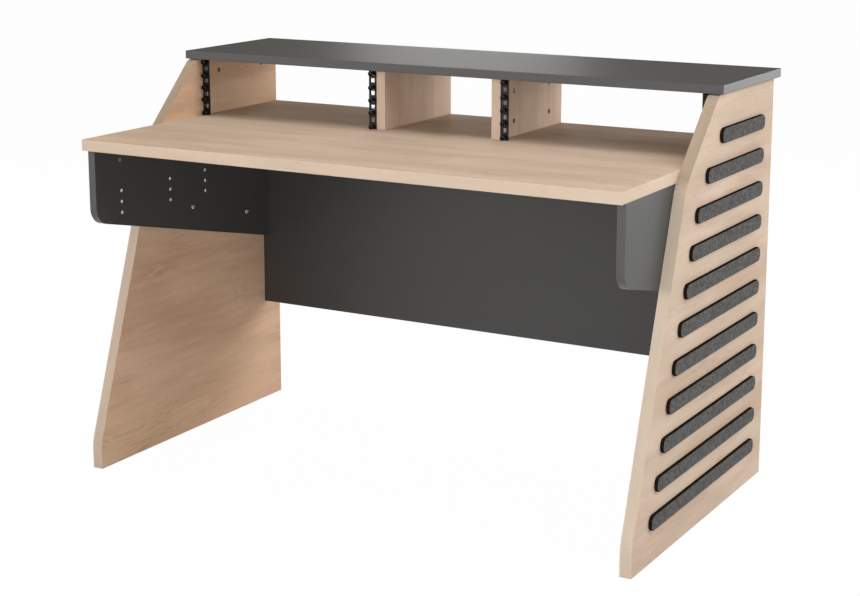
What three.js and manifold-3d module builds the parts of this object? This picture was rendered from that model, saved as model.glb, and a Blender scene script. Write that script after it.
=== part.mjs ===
// A studio desk. Two oak side panels with slanted front edges carry an oak desktop. On the desktop two
// dividers and a dark shelf make three open bays, and the two wide bays have rails for 19 inch gear.
// Under the desktop hang a dark modesty panel and two dark brackets, drilled for a sliding tray.
// Millimetres, +Z up, +X to the right of the person at the desk, +Y away from that person.
// The origin is on the floor, under the middle of the desk's outer box.
import * as THREE from "three";
import { mergeVertices } from "three/addons/utils/BufferGeometryUtils.js";
import Module from "manifold-3d";

const wasm = await Module();
wasm.setup();

// Overall sizes. Depths are measured forward from the side panels' back edges.
const deskHeight = 765;
const deskDepth = 752;
const rackBayWidth = 485;
const middleBayWidth = 271;
const rackUnit = 44.45;
const rackUnitCount = 3;
const bayHeadroom = 1.65;

// Board thicknesses.
const sideBoard = 25;
const desktopBoard = 25;
const shelfBoard = 19;
const dividerBoard = 22;
const modestyBoard = 18;
const bracketBoard = 18;

// Side panels: the front edge is upright at the foot, slants back to a knee at the desktop's underside
// and slants back further from there to the shelf. The banding goes round its bends and its top corner.
const footDepth = 725;
const footRise = 60;
const kneeDepth = 492;
const crownDepth = 328;
const bendRadius = 100;
const crownRadius = 40;

// Shelf, dividers and modesty panel.
const shelfBackOverhang = 22;
const dividerSetback = 21;
const modestySetback = 67;
const modestyDrop = 485;

// Tray brackets: the lower edge slopes down towards the modesty panel.
const bracketSetback = 20;
const bracketFrontDrop = 164;
const bracketRearDrop = 312;
const bracketCorner = 40;

// Screws that hold the brackets to the side panels, and their distance above the bracket's lower edge.
const bracketScrewRise = 57;
const bracketScrewLengthShares = [0.526, 0.854];
const bracketScrewHeadRadius = 6;
const bracketScrewHead = 3;
const bracketScrewRadius = 3;
const bracketScrewGrip = 15;

// Holes for threaded inserts on the brackets' inner faces: shares of the bracket's length, back from
// its front edge, and shares of its front height, down from the desktop.
const insertRadius = 4;
const insertDepth = 12;
const insertLengthShares = [0.132, 0.398, 0.601];
const insertDropShares = [0.634, 0.787, 0.939];

// Pockets for the knock-down cams that pull two boards together.
const camRadius = 6;
const camPocket = 12;
const camEdgeDistance = 34;
const camDepthShares = [0.212, 0.785];
const bracketCamLengthShare = 0.129;

// Rack rails: an L of sheet steel, with three square holes to each rack unit. The places of the holes
// are shares of a rack unit.
const railFlange = 20;
const railLeg = 13;
const railSheet = 2;
const railHole = 9.5;
const railHoleShares = [1 / 7, 1 / 2, 6 / 7];
const railFixingRadius = 2.25;
const railFixingShares = [3 / 28, 1 / 2, 25 / 28];

// Rack screws, one in every second hole. No gear is mounted, so each is only part way into its cage nut
// and its head stands off the rail.
const rackScrewHeadRadius = 5.5;
const rackScrewHeadSide = 3.5;
const rackScrewDome = 1.5;
const rackScrewRadius = 2.9;
const rackScrewLength = 16;
const rackScrewStandoff = 8;
const cageNutWidth = 12;
const cageNutHeight = 11;
const cageNutDepth = 5.5;

// Felt strips on the side panels' outer faces. The end margin is measured square to the panel's edge.
const stripCount = 11;
const stripHeight = 32;
const stripThickness = 8;
const stripCorner = 14;
const stripEndMargin = 67;
const stripStackMargin = 70;

// Play around a screw in its hole, and how far a cutter reaches past the face that it opens.
const screwPlay = 0.3;
const overrun = 2;

// Sides of a round hole or screw, and steps of a rounded corner.
const roundSides = 12;
const cornerSteps = 6;

// Places that follow from the sizes above.
const innerWidth = 2 * rackBayWidth + middleBayWidth + 2 * dividerBoard;
const innerSide = innerWidth / 2;
const outerSide = innerSide + sideBoard;
const deskUnderside = deskHeight - desktopBoard;
const railHeight = rackUnit * rackUnitCount;
const shelfUnderside = deskHeight + railHeight + bayHeadroom;
const shelfWidth = 2 * (outerSide + stripThickness);
const dividerDepth = crownDepth - dividerSetback;
const bracketFront = deskDepth - bracketSetback;
const bracketLength = bracketFront - modestySetback;
const bayEdges = [middleBayWidth / 2, middleBayWidth / 2 + dividerBoard];

// Materials.
const oak = new THREE.MeshStandardMaterial({ color: 0xd0b18f, roughness: 0.62 });
const anthracite = new THREE.MeshStandardMaterial({ color: 0x55585a, roughness: 0.55 });
const blackSteel = new THREE.MeshStandardMaterial({ color: 0x111112, roughness: 0.45, metalness: 0.4 });
const felt = new THREE.MeshStandardMaterial({ color: 0x66696b, roughness: 0.95 });
const nickel = new THREE.MeshStandardMaterial({ color: 0xc9c8c4, roughness: 0.3, metalness: 1 });

// Turns a closed geometry into a solid that can be cut.
function solidOf(geometry) {
  const bare = geometry.clone();
  bare.deleteAttribute("normal");
  bare.deleteAttribute("uv");
  const merged = mergeVertices(bare);
  return new wasm.Manifold(
    new wasm.Mesh({
      numProp: 3,
      vertProperties: new Float32Array(merged.attributes.position.array),
      triVerts: new Uint32Array(merged.index.array),
    }),
  );
}

// Gives a solid back as a flat-shaded geometry.
function geometryOf(solid) {
  const { vertProperties, triVerts } = solid.getMesh();
  const geometry = new THREE.BufferGeometry();
  geometry.setAttribute("position", new THREE.BufferAttribute(vertProperties, 3));
  geometry.setIndex(new THREE.BufferAttribute(triVerts, 1));
  const flat = geometry.toNonIndexed();
  flat.computeVertexNormals();
  return flat;
}

// Takes the cutters out of a geometry.
function cut(geometry, cutters) {
  const rest = cutters.reduce((solid, cutter) => solid.subtract(solidOf(cutter)), solidOf(geometry));
  return geometryOf(rest);
}

// Makes one body of two that run into each other.
function join(one, other) {
  return geometryOf(solidOf(one).add(solidOf(other)));
}

// A box between two opposite corners, each given as [x, y, z].
function boxBetween(low, high) {
  const [lowCorner, highCorner] = [new THREE.Vector3(...low), new THREE.Vector3(...high)];
  const size = highCorner.clone().sub(lowCorner);
  const middle = lowCorner.clone().lerp(highCorner, 0.5);
  return new THREE.BoxGeometry(size.x, size.y, size.z).translate(middle.x, middle.y, middle.z);
}

// A plate whose outline is a shape in (y, z), standing between two places along X.
function plateAlongX(outline, fromX, toX) {
  const plate = new THREE.ExtrudeGeometry(outline, {
    depth: toX - fromX,
    bevelEnabled: false,
    curveSegments: cornerSteps,
  });
  const turn = new THREE.Matrix4().makeBasis(
    new THREE.Vector3(0, 1, 0),
    new THREE.Vector3(0, 0, 1),
    new THREE.Vector3(1, 0, 0),
  );
  return plate.applyMatrix4(turn).translate(fromX, 0, 0);
}

// A round rod along X between two places, in either order.
function rodAlongX(radius, fromX, toX, y, z) {
  return new THREE.CylinderGeometry(radius, radius, Math.abs(toX - fromX), roundSides)
    .rotateZ(Math.PI / 2)
    .translate((fromX + toX) / 2, y, z);
}

// An outline in (y, z) through corners, each [depth forward of the back edges, height, radius], that go
// clockwise. A corner without a radius stays sharp.
function outlineOf(corners) {
  const points = corners.map(([depth, height]) => new THREE.Vector2(-depth, height));
  const outline = new THREE.Shape();
  corners.forEach(([, , radius], index) => {
    const corner = points[index];
    if (!radius) {
      if (index === 0) outline.moveTo(corner.x, corner.y);
      else outline.lineTo(corner.x, corner.y);
      return;
    }
    const before = points.at(index - 1).clone().sub(corner).normalize();
    const after = points[(index + 1) % points.length].clone().sub(corner).normalize();
    const halfAngle = before.angleTo(after) / 2;
    const centre = before.clone().add(after).setLength(radius / Math.sin(halfAngle)).add(corner);
    const touch = radius / Math.tan(halfAngle);
    const from = before.multiplyScalar(touch).add(corner).sub(centre);
    const to = after.multiplyScalar(touch).add(corner).sub(centre);
    outline.absarc(centre.x, centre.y, radius, from.angle(), to.angle(), true);
  });
  return outline;
}

function named(name, geometry, material) {
  const mesh = new THREE.Mesh(geometry, material);
  mesh.name = name;
  return mesh;
}

const sideName = (side) => (side < 0 ? "left" : "right");

// Depth of the side panels' front edge at a height, set back square to the edge by a margin.
function frontEdgeDepth(height, margin) {
  const lowerSlope = (footDepth - kneeDepth) / (deskUnderside - footRise);
  const upperSlope = (kneeDepth - crownDepth) / (shelfUnderside - deskUnderside);
  const lower = footDepth - lowerSlope * (height - footRise) - margin * Math.hypot(1, lowerSlope);
  const upper = kneeDepth - upperSlope * (height - deskUnderside) - margin * Math.hypot(1, upperSlope);
  return Math.min(lower, upper);
}

// Height of a bracket's lower edge at a depth, before its front corner is rounded.
function bracketLowerEdge(depth) {
  const share = (bracketFront - depth) / bracketLength;
  return deskUnderside - THREE.MathUtils.lerp(bracketFrontDrop, bracketRearDrop, share);
}

// Centres of the screws that hold a bracket, as [depth, height].
const bracketScrewPlaces = bracketScrewLengthShares.map((share) => {
  const depth = bracketFront - share * bracketLength;
  return [depth, bracketLowerEdge(depth) + bracketScrewRise];
});

// Pockets for cams in a board's face, which open towards the given direction along X.
function camPockets(faceX, direction, places) {
  return places.map(([depth, height]) =>
    rodAlongX(camRadius, faceX - direction * camPocket, faceX + direction * overrun, -depth, height),
  );
}

function sidePanel(side) {
  const outline = outlineOf([
    [0, 0],
    [footDepth, 0],
    [footDepth, footRise, bendRadius],
    [kneeDepth, deskUnderside, bendRadius],
    [crownDepth, shelfUnderside, crownRadius],
    [0, shelfUnderside],
  ]);
  const [fromX, toX] = side < 0 ? [-outerSide, -innerSide] : [innerSide, outerSide];
  const pilotHoles = bracketScrewPlaces.map(([depth, height]) =>
    rodAlongX(
      bracketScrewRadius + screwPlay,
      side * (innerSide - overrun),
      side * (innerSide + bracketScrewGrip + screwPlay),
      -depth,
      height,
    ),
  );
  const shelfCams = camDepthShares.map((share) => [share * dividerDepth, shelfUnderside - camEdgeDistance]);
  const cutters = [...pilotHoles, ...camPockets(side * innerSide, -side, shelfCams)];
  return named(`${sideName(side)}_side_panel`, cut(plateAlongX(outline, fromX, toX), cutters), oak);
}

function desktop() {
  const board = boxBetween([-innerSide, -deskDepth, deskUnderside], [innerSide, 0, deskHeight]);
  return named("desktop", board, oak);
}

function topShelf() {
  const board = boxBetween(
    [-shelfWidth / 2, -crownDepth, shelfUnderside],
    [shelfWidth / 2, shelfBackOverhang, shelfUnderside + shelfBoard],
  );
  return named("top_shelf", board, anthracite);
}

// A divider, with its cam pockets in the face towards the wide bay.
function divider(side) {
  const [nearX, farX] = bayEdges;
  const [fromX, toX] = side < 0 ? [-farX, -nearX] : [nearX, farX];
  const board = boxBetween([fromX, -dividerDepth, deskHeight], [toX, 0, shelfUnderside]);
  const heights = [deskHeight + camEdgeDistance, shelfUnderside - camEdgeDistance];
  const places = camDepthShares.flatMap((share) => heights.map((height) => [share * dividerDepth, height]));
  return named(`${sideName(side)}_divider`, cut(board, camPockets(side * farX, side, places)), oak);
}

function modestyPanel() {
  const board = boxBetween(
    [-innerSide, -modestySetback, deskUnderside - modestyDrop],
    [innerSide, modestyBoard - modestySetback, deskUnderside],
  );
  return named("modesty_panel", board, anthracite);
}

// A bracket's outline: front and rear edges upright, lower edge sloping, front corner rounded.
function bracketOutline() {
  const slope = (bracketRearDrop - bracketFrontDrop) / bracketLength;
  const turn = Math.PI / 2 - Math.atan(slope);
  const tangent = bracketCorner * Math.tan(turn / 2);
  const centreY = -bracketFront + bracketCorner;
  const centreZ = bracketLowerEdge(bracketFront) + tangent;
  const outline = new THREE.Shape();
  outline.moveTo(-bracketFront, deskUnderside);
  outline.lineTo(-bracketFront, centreZ);
  outline.absarc(centreY, centreZ, bracketCorner, Math.PI, Math.PI + turn, false);
  outline.lineTo(-modestySetback, bracketLowerEdge(modestySetback));
  outline.lineTo(-modestySetback, deskUnderside);
  return outline;
}

function trayBracket(side) {
  const inner = innerSide - bracketBoard;
  const [fromX, toX] = side < 0 ? [-innerSide, -inner] : [inner, innerSide];
  const inserts = insertLengthShares.flatMap((lengthShare) =>
    insertDropShares.map((dropShare) =>
      rodAlongX(
        insertRadius,
        side * (inner - overrun),
        side * (inner + insertDepth),
        -(bracketFront - lengthShare * bracketLength),
        deskUnderside - dropShare * bracketFrontDrop,
      ),
    ),
  );
  const screwHoles = bracketScrewPlaces.map(([depth, height]) =>
    rodAlongX(
      bracketScrewRadius + screwPlay,
      side * (inner - overrun),
      side * (innerSide + overrun),
      -depth,
      height,
    ),
  );
  const camPlace = [bracketFront - bracketCamLengthShare * bracketLength, deskUnderside - camEdgeDistance];
  const cutters = [...inserts, ...screwHoles, ...camPockets(side * inner, -side, [camPlace])];
  const bracket = cut(plateAlongX(bracketOutline(), fromX, toX), cutters);
  return named(`${sideName(side)}_tray_bracket`, bracket, anthracite);
}

// The outline of a shallow dome, from its rim to its middle.
function domeOutline(radius, height, rimY) {
  const dome = new THREE.EllipseCurve(0, rimY, radius, height, 0, Math.PI / 2);
  return [...dome.getPoints(cornerSteps / 2).slice(0, -1), new THREE.Vector2(0, rimY + height)];
}

// A screw along +Y whose head rests on y = 0, turned about Y. The head's outline runs from its seat to
// the middle of its top.
function screwGeometry(headOutline, radius, length) {
  const shank = [
    new THREE.Vector2(0, -length),
    new THREE.Vector2(radius, -length),
    new THREE.Vector2(radius, 0),
  ];
  return new THREE.LatheGeometry([...shank, ...headOutline], roundSides);
}

// Screws through a bracket into its side panel, heads on the bracket's inner face.
function bracketScrews(side) {
  const headPlane = innerSide - bracketBoard;
  return bracketScrewPlaces.map(([depth, height], index) => {
    const head = domeOutline(bracketScrewHeadRadius, bracketScrewHead, 0);
    const geometry = screwGeometry(head, bracketScrewRadius, bracketBoard + bracketScrewGrip);
    const screw = named(`${sideName(side)}_bracket_screw_${index + 1}`, geometry, nickel);
    screw.rotation.z = (side * Math.PI) / 2;
    screw.position.set(side * headPlane, -depth, height);
    return screw;
  });
}

// Heights of a rail's holes above the desktop, from the bottom up.
const railHoleHeights = Array.from({ length: rackUnitCount }, (_, unit) =>
  railHoleShares.map((share) => deskHeight + (unit + share) * rackUnit),
).flat();

// A rail standing on the desktop against the face of a board. Its front flange reaches from that face
// into the bay, in the given direction along X.
function rackRail(name, faceX, direction) {
  const front = -dividerDepth;
  const section = new THREE.Shape([
    new THREE.Vector2(0, 0),
    new THREE.Vector2(direction * railFlange, 0),
    new THREE.Vector2(direction * railFlange, railSheet),
    new THREE.Vector2(direction * railSheet, railSheet),
    new THREE.Vector2(direction * railSheet, railLeg),
    new THREE.Vector2(0, railLeg),
  ]);
  const bar = new THREE.ExtrudeGeometry(section, { depth: railHeight, bevelEnabled: false }).translate(
    faceX,
    front,
    deskHeight,
  );
  const holeX = faceX + (direction * railFlange) / 2;
  const holes = railHoleHeights.map((height) =>
    boxBetween(
      [holeX - railHole / 2, front - overrun, height - railHole / 2],
      [holeX + railHole / 2, front + railSheet + overrun, height + railHole / 2],
    ),
  );
  const reach = railSheet + overrun;
  const fixings = railFixingShares.map((share) =>
    rodAlongX(
      railFixingRadius,
      faceX - reach,
      faceX + reach,
      front + (railLeg + railSheet) / 2,
      deskHeight + share * railHeight,
    ),
  );
  return named(name, cut(bar, [...holes, ...fixings]), blackSteel);
}

// A rack screw along +Y, in the cage nut that lies against the back of the rail's flange.
function rackScrewInNut() {
  const head = [
    new THREE.Vector2(rackScrewHeadRadius, 0),
    ...domeOutline(rackScrewHeadRadius, rackScrewDome, rackScrewHeadSide),
  ];
  const nutFront = -rackScrewStandoff - railSheet;
  const nut = boxBetween(
    [-cageNutWidth / 2, nutFront - cageNutDepth, -cageNutHeight / 2],
    [cageNutWidth / 2, nutFront, cageNutHeight / 2],
  );
  return join(screwGeometry(head, rackScrewRadius, rackScrewLength), nut);
}

// A rail's screws, in every second hole, heads to the front.
function rackScrews(railName, faceX, direction) {
  const screwHeights = railHoleHeights.filter((_, index) => index % 2 === 0);
  return screwHeights.map((height, index) => {
    const screw = named(`${railName}_screw_${index + 1}`, rackScrewInNut(), blackSteel);
    screw.rotation.x = Math.PI;
    screw.position.set(faceX + (direction * railFlange) / 2, -dividerDepth - rackScrewStandoff, height);
    return screw;
  });
}

// Both rails of the wide bay on one side of the desk, with their screws.
function baySideRails(side) {
  const rails = [
    { name: `${sideName(side)}_bay_outer_rail`, faceX: side * innerSide, direction: -side },
    { name: `${sideName(side)}_bay_inner_rail`, faceX: side * bayEdges[1], direction: side },
  ];
  return rails.flatMap(({ name, faceX, direction }) => [
    rackRail(name, faceX, direction),
    ...rackScrews(name, faceX, direction),
  ]);
}

// The outline of one felt strip in (y, z): a rounded bar from its front end to the rear margin.
function stripOutline(bottom) {
  const corner = Math.min(stripCorner, stripHeight / 2);
  const front = -frontEdgeDepth(bottom + stripHeight / 2, stripEndMargin);
  const [rear, top] = [-stripEndMargin, bottom + stripHeight];
  const outline = new THREE.Shape();
  outline.absarc(rear - corner, bottom + corner, corner, -Math.PI / 2, 0, false);
  outline.absarc(rear - corner, top - corner, corner, 0, Math.PI / 2, false);
  outline.absarc(front + corner, top - corner, corner, Math.PI / 2, Math.PI, false);
  outline.absarc(front + corner, bottom + corner, corner, Math.PI, (3 * Math.PI) / 2, false);
  return outline;
}

// The felt strips of one side panel, counted from the floor up.
function feltStrips(side) {
  const step = (shelfUnderside - 2 * stripStackMargin - stripHeight) / (stripCount - 1);
  const [fromX, toX] =
    side < 0 ? [-outerSide - stripThickness, -outerSide] : [outerSide, outerSide + stripThickness];
  return Array.from({ length: stripCount }, (_, index) => {
    const outline = stripOutline(stripStackMargin + index * step);
    return named(`${sideName(side)}_felt_strip_${index + 1}`, plateAlongX(outline, fromX, toX), felt);
  });
}

const desk = new THREE.Group();
desk.add(desktop(), topShelf(), modestyPanel());
for (const side of [-1, 1]) {
  desk.add(sidePanel(side), divider(side), trayBracket(side));
  desk.add(...bracketScrews(side), ...baySideRails(side), ...feltStrips(side));
}
desk.position.y = (deskDepth - shelfBackOverhang) / 2;

const group = new THREE.Group();
group.add(desk);
export default group;
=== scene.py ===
"""The looks of a studio desk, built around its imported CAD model.

The desk has oak side panels with slanted front edges and felt strips, an oak desktop, a dark shelf
over three open bays, rack rails, a dark modesty panel and two dark brackets, drilled for a tray.
The boards and rails are the CAD nodes, with rounded edges and procedural materials. The felt strips
and the screws are finer pieces that replace CAD nodes. The cams, the threaded inserts and the
rails' fixing screws are added in the holes that the CAD model has for them.
Everything is in metres, +Z up, +X to the right of the person at the desk, +Y away from them.
"""

import math

import bpy
import numpy as np
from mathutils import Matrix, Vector


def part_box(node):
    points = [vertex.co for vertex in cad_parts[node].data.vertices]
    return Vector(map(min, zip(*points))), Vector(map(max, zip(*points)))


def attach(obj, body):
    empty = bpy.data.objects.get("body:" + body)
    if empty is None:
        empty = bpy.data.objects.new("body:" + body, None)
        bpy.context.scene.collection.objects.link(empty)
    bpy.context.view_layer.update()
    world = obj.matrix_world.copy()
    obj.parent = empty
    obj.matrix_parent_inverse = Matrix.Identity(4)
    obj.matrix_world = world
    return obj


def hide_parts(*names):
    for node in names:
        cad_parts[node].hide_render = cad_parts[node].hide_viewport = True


bl_info = {
    "name": "Studio desk",
    "version": (1, 0, 0),
    "blender": (4, 5, 0),
    "location": "3D View > Sidebar > Studio desk",
    "description": "Builds the looks of a studio desk around its CAD model",
    "category": "Object",
}

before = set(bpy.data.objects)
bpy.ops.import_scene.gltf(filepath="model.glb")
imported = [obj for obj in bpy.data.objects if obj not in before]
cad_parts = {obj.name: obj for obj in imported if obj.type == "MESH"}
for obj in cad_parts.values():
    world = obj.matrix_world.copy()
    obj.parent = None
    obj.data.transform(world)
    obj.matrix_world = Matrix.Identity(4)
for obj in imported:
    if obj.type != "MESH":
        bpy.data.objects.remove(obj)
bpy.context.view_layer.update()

MM = 0.001
BODY = "root"
SIDES = (("left", -1), ("right", 1))
RAILS = tuple(f"{side}_bay_{place}_rail" for side, _ in SIDES for place in ("outer", "inner"))
STRIPS_PER_SIDE = 11
SCREWS_PER_RAIL = 5
SCREWS_PER_BRACKET = 2
X_AXIS, Y_AXIS, Z_AXIS = (1, 0, 0), (0, 1, 0), (0, 0, 1)
FRONT = (0.0, -1.0, 0.0)
WHITE = (1.0, 1.0, 1.0)

# The holes in the CAD boards and rails, as they are in the model's source, and the play that the
# fittings have in them.
CAM_RADIUS = 6 * MM
CAM_PLAY = 0.1 * MM
CAM_POCKET = 12 * MM
CAM_EDGE_DISTANCE = 34 * MM
CAM_DEPTH_SHARES = (0.212, 0.785)
BRACKET_CAM_LENGTH_SHARE = 0.129
INSERT_RADIUS = 4 * MM
INSERT_PLAY = 0.05 * MM
INSERT_DEPTH = 12 * MM
INSERT_LENGTH_SHARES = (0.132, 0.398, 0.601)
INSERT_DROP_SHARES = (0.634, 0.787, 0.939)
BRACKET_FRONT_DROP = 164 * MM
RAIL_SHEET = 2 * MM
RAIL_LEG = 13 * MM
RAIL_FIXING_RADIUS = 2.25 * MM
RAIL_FIXING_PLAY = 0.3 * MM
RAIL_FIXING_SHARES = (3 / 28, 1 / 2, 25 / 28)

# How close the doubled corners of a CAD mesh are, and the angles up to which its faces are flat,
# from which its edges are rounded, and from which the edges of hardware stay sharp.
WELD_DISTANCE = 0.01 * MM
FLAT_DEGREES = 0.5
ROUNDED_DEGREES = 50
SHARP_DEGREES = 38

# A surface is a board's edge where the cosine from its normal to the board's axis is below this.
EDGE_COSINE = 0.6

# Each kind of oak board: its nodes, the axes of its grain and of its thickness, the offset of its
# pattern along the grain, and the strength of its arches and of its streaks.
OAK_BOARDS = {
    "desktop": (("desktop",), X_AXIS, Z_AXIS, 0.31, 0.5, 0.72),
    "left panel": (("left_side_panel",), Y_AXIS, X_AXIS, 0.0, 1.1, 1.0),
    "right panel": (("right_side_panel",), Y_AXIS, X_AXIS, 0.4, 0.6, 0.85),
    "dividers": (("left_divider", "right_divider"), Z_AXIS, X_AXIS, 0.77, 0.3, 0.8),
}

# Each kind of dark board: its nodes, the axis of its thickness and the tone of its banding.
DARK_BOARDS = {
    "shelf": (("top_shelf",), Z_AXIS, 1.0),
    "modesty panel": (("modesty_panel",), Y_AXIS, 1.0),
    "brackets": (("left_tray_bracket", "right_tray_bracket"), X_AXIS, 1.05),
}

# A felt strip's section, as pairs of how far a row is drawn in, in millimetres, and its level as a
# share of the thickness: up the cut wall, and then over the face. The rows above the face level
# rise and fall with the felt's wave, and the rows under it are drawn in by the wave.
STRIP_WALL = ((0.25, 0.0), (0.0, 0.06), (0.0, 0.4), (0.0, 0.74), (0.35, 0.86), (0.9, 0.925))
STRIP_FACE = ((1.8, 0.95), (3.2, 0.958), (5.0, 0.962), (7.0, 0.966))
STRIP_FACE += ((9.0, 0.97), (11.0, 0.97), (13.0, 0.97), (15.3, 0.97))
FACE_LEVEL = 0.9
STRIP_CORNER = 14 * MM
STRIP_COLUMN = 4.5 * MM
FELT_WAVE = 11 * MM

# The stage. The floor lies just under the desk, and the lights face the desk's middle.
FLOOR_DROP = 0.2 * MM
DESK_MIDDLE = (0.0, 0.0, 0.5)
CAMERA_PLACE = (1.9686, -3.4339, 1.3757)
CAMERA_DOWN = 0.2079
CAMERA_TURN = 0.5174
CAMERA_LENS = 76.19
CAMERA_SENSOR = 36.0
CAMERA_SHIFT = -60 / 860


# Mesh helpers

def mesh_object(name, points, faces, materials, face_materials=None):
    """Makes a smooth object at the origin from an array of points and a list of faces."""
    mesh = bpy.data.meshes.new(name)
    mesh.from_pydata(points.tolist(), [], faces)
    for material in materials:
        mesh.materials.append(material)
    if face_materials is not None:
        mesh.polygons.foreach_set("material_index", face_materials)
    mesh.shade_smooth()
    obj = bpy.data.objects.new(name, mesh)
    bpy.context.scene.collection.objects.link(obj)
    return obj


def seated(obj, slot_name, *nodes):
    """Makes a piece ride on the desk, and hides the nodes that it stands for. The slot name is not
    used.
    """
    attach(obj, BODY)
    if nodes:
        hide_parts(*nodes)


def fitting(name, part, material, slot_name, *nodes):
    """Makes a piece of hardware, whose edges stay sharp, and seats it."""
    piece = mesh_object(name, *part, [material])
    piece.data.set_sharp_from_angle(angle=math.radians(SHARP_DEGREES))
    seated(piece, slot_name, *nodes)


def grid_faces(rows, columns, closed):
    """Quads between the rows of a grid whose columns go round, and with closed also from the last
    row back to the first."""
    row = np.arange(rows if closed else rows - 1)[:, None]
    column = np.arange(columns)[None, :]
    start, after = row * columns, (row + 1) % rows * columns
    beside = (column + 1) % columns
    corners = (start + column, start + beside, after + beside, after + column)
    return np.stack(np.broadcast_arrays(*corners), axis=-1).reshape(-1, 4).tolist()


def angles(sides):
    """The angles of the corners of a round with that many sides."""
    return np.arange(sides) * (2 * math.pi / sides)


def ring_rows(stations, sides):
    """Rows of radii and heights round an axis. A station is a radius and a height, and the radius
    is a number or a function of the angle."""
    angle = angles(sides)
    rows = [
        (radius(angle) if callable(radius) else np.full(sides, radius), np.full(sides, height))
        for radius, height in stations
    ]
    return np.stack(rows, axis=1)


def thread_rows(radius, length, pitch, depth, tip, sides):
    """Rows of a threaded shank from its end up to height 0, four to a pitch. At a height and an
    angle, the radius is the shank's own less the depth times a triangle wave of height / pitch -
    angle / full turn. Over the tip it shrinks in proportion to the distance from a point a tenth of
    the tip past the end."""
    rows = int(math.ceil(length / pitch * 4)) + 1
    height = np.linspace(-length, 0.0, rows)[:, None]
    turn = height / pitch - angles(sides)[None, :] / (2 * math.pi)
    wave = np.abs(2 * (turn % 1.0) - 1)
    slim = np.clip((height + length + 0.1 * tip) / (1.1 * tip), 0.0, 1.0)
    return np.stack([(radius - depth * wave) * slim, np.broadcast_to(height, wave.shape)])


def turned(rows, closed=False):
    """A surface round the Z axis from rows of radii and heights. A point is (radius cos angle,
    radius sin angle, height). An open surface ends in fans to the axis at both ends."""
    radii, heights = rows
    count, sides = radii.shape
    angle = angles(sides)
    points = np.stack([radii * np.cos(angle), radii * np.sin(angle), heights], axis=-1)
    points = points.reshape(-1, 3)
    faces = grid_faces(count, sides, closed)
    if not closed:
        first, last, top = len(points), len(points) + 1, (count - 1) * sides
        points = np.vstack([points, [[0, 0, heights[0].mean()], [0, 0, heights[-1].mean()]]])
        ring = np.arange(sides)
        after = (ring + 1) % sides
        faces += np.stack([np.full(sides, first), after, ring], axis=-1).tolist()
        faces += np.stack([np.full(sides, last), top + ring, top + after], axis=-1).tolist()
    return points, faces


def placed(part, origin, out):
    """Turns a part so that its Z axis points out and its Y axis up, and moves it to an origin. A
    point goes to origin + x side + y up + z out, where side is the world's up cross out."""
    points, faces = part
    side = np.cross((0.0, 0.0, 1.0), out)
    basis = np.array([side, np.cross(out, side), out], float)
    return points @ basis + np.array(origin, float), faces


def joined(parts):
    """Puts several (points, faces) parts into one."""
    counts = np.cumsum([0] + [len(points) for points, _ in parts])
    faces = [
        [int(base) + corner for corner in face]
        for base, (_, part_faces) in zip(counts, parts)
        for face in part_faces
    ]
    return np.vstack([points for points, _ in parts]), faces


# Outlines round an axis, as functions of the angle

def cross_outline(length, width):
    """A cross recess: at each angle the further end of its two bars. A bar ends at its length over
    the cosine of the angle or half its width over the sine, whichever is nearer."""

    def radius(angle):
        cosine = np.maximum(np.abs(np.cos(angle)), 1e-6)
        sine = np.maximum(np.abs(np.sin(angle)), 1e-6)
        along_x = np.minimum(length / cosine, width / 2 / sine)
        along_y = np.minimum(length / sine, width / 2 / cosine)
        return np.maximum(along_x, along_y)

    return radius


def hexagon_outline(flat):
    """A hexagon: half its width across flats over the cosine of the angle from the nearest flat."""
    step = math.pi / 3
    return lambda angle: flat / np.cos((angle + step / 2) % step - step / 2)


def square_outline(half, power=10):
    """A square with rounded corners: half its width over the power mean of cosine and sine."""

    def radius(angle):
        total = np.abs(np.cos(angle)) ** power + np.abs(np.sin(angle)) ** power
        return half / total ** (1 / power)

    return radius


# Shader helpers

def opaque(colour):
    return (*colour, 1.0)


def tinted(colour, tint):
    """A colour times a number, or channel by channel times a tint."""
    tint = (tint,) * 3 if isinstance(tint, float) else tint
    return opaque([channel * share for channel, share in zip(colour, tint)])


def node_of(tree, kind):
    """The tree's node of a kind that it has one of."""
    return next(node for node in tree.nodes if node.type == kind)


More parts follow.
